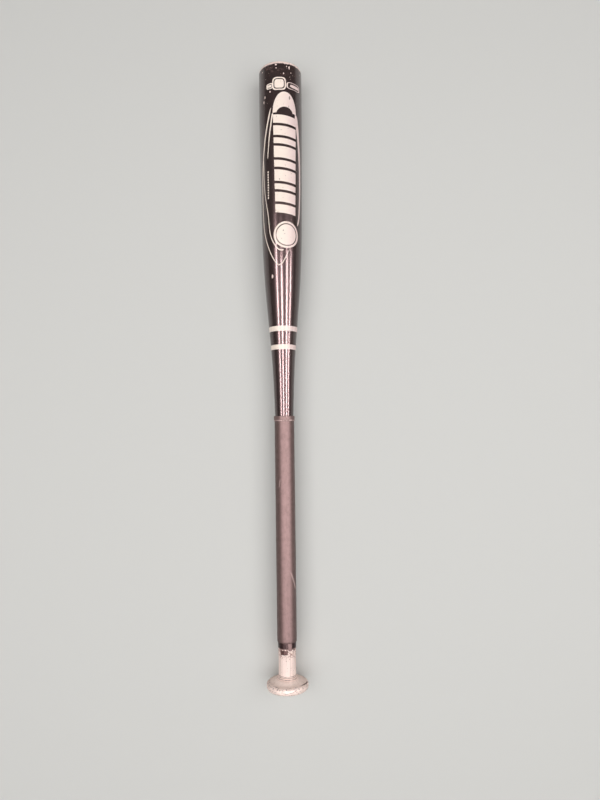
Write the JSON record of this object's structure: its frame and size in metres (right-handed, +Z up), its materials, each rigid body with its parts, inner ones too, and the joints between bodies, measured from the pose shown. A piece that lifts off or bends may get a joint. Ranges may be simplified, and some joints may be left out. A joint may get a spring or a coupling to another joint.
{
  "type": "baseball bat",
  "caption": "Aluminium baseball bat with a tapered hollow barrel, a closed end, a rubber grip and a welded knob, lying on its side.",
  "frame": {"origin": "on the ground under the middle of the bat's length", "axes": "+Y along the bat from the knob to the barrel's end, +Z up, +X across"},
  "size_m": [0.0572, 0.8128, 0.0571],
  "materials": {
    "black_paint": "gloss black paint, chipped at the rim, with two pale bands and a pale panel",
    "bare_aluminium": "bare metal, pitted and scratched",
    "weld_metal": "rippled weld bead",
    "plug_plastic": "moulded black plastic",
    "tape_film": "black tape, torn at its lower end",
    "worn_rubber": "faded, mottled brown-grey rubber",
    "collar_rubber": "faded rubber band",
    "cap_urethane": "moulded black urethane, scuffed",
    "damper_foam": "pale closed-cell foam",
    "pale_print": "pale silver print on the paint"
  },
  "bodies": {
    "root": {"bat_shell": "black_paint", "knob": "bare_aluminium", "knob_weld": "weld_metal", "knob_plug": "plug_plastic", "handle_tape": "tape_film", "grip": "worn_rubber", "grip_collar": "collar_rubber", "end_cap": "cap_urethane", "foam_damper": "damper_foam"}
  },
  "joints": []
}
